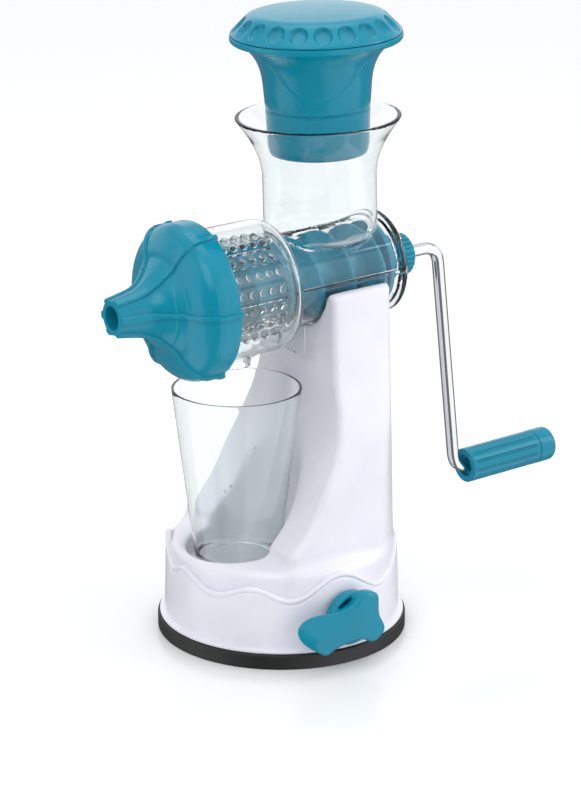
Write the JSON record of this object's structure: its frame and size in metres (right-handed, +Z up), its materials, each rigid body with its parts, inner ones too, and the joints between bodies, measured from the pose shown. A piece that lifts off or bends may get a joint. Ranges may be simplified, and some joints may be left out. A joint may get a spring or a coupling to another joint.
{
  "type": "hand-cranked juicer",
  "caption": "Hand-cranked auger juicer on a suction base: clear screw housing with hopper and pusher, ribbed front cap, bent crank, and a glass standing in the stand's pocket.",
  "frame": {"origin": "centre of the flat underside of the suction pad, on the table", "axes": "+Z up; +X along the barrel towards the crank, so the pulp nozzle points to -X; the lock lever is on the -Y side"},
  "size_m": [0.3308, 0.1703, 0.3968],
  "materials": {
    "stand_plastic": "glossy moulded lilac-white plastic",
    "teal_plastic": "satin moulded teal plastic",
    "clear_plastic": "polished clear plastic",
    "drinking_glass": "clear glass",
    "black_rubber": "matt rubber",
    "bright_steel": "polished stainless steel",
    "plain_steel": "satin steel",
    "grey_plastic": "matt grey engineering plastic",
    "silicone": "matt translucent silicone",
    "nylon": "matt white nylon"
  },
  "bodies": {
    "base": {"stand": "stand_plastic", "suction_pad": "black_rubber", "pressure_plate": "grey_plastic", "plate_screw_1": "plain_steel", "plate_screw_2": "plain_steel", "plate_screw_3": "plain_steel", "plate_screw_4": "plain_steel", "juicer_body": "clear_plastic", "strainer": "clear_plastic", "auger_washer": "nylon", "cap_seal": "silicone"},
    "lock": {"cam_shaft": "plain_steel", "shaft_clip": "plain_steel", "lock_lever": "teal_plastic"},
    "stud": {"pad_stud": "plain_steel"},
    "cap": {"front_cap": "teal_plastic"},
    "crank": {"crank_rod": "bright_steel", "crank_knob": "teal_plastic", "auger": "teal_plastic", "grip_retainer": "plain_steel"},
    "grip": {"grip": "teal_plastic", "grip_cap": "teal_plastic"},
    "pusher": {"pusher": "teal_plastic", "pusher_lid": "teal_plastic"},
    "glass": {"juice_glass": "drinking_glass"}
  },
  "joints": [
    {"name": "lock_turn", "type": "hinge", "parent": "base", "child": "lock", "pos_m": [-0.003, -0.08, 0.0302], "axis": [0, 1, 0], "range_deg": [0, 90]},
    {"name": "stud_lift", "type": "slide", "parent": "base", "child": "stud", "axis": [0, 0, 1], "range_m": [0, 0.003]},
    {"name": "cap_turn", "type": "hinge", "parent": "base", "child": "cap", "pos_m": [0, 0, 0.22885], "axis": [0.9995, 0, 0.0314], "range_deg": [0, 30]},
    {"name": "crank_turn", "type": "hinge", "parent": "base", "child": "crank", "pos_m": [0, 0, 0.22885], "axis": [0.9995, 0, 0.0314], "continuous": true},
    {"name": "grip_spin", "type": "hinge", "parent": "crank", "child": "grip", "pos_m": [0.16461, -0.01672, 0.08488], "axis": [0.9995, 0, 0.0314], "continuous": true},
    {"name": "pusher_slide", "type": "slide", "parent": "base", "child": "pusher", "axis": [-0.0314, 0, 0.9995], "range_m": [-0.046, 0.03]},
    {"name": "glass_lift", "type": "slide", "parent": "base", "child": "glass", "axis": [0, 0, 1], "range_m": [0, 0.009]}
  ],
  "couplings": [
    {"joint": "stud_lift", "follows": "lock_turn", "m_per_rad": 0.0019099}
  ]
}
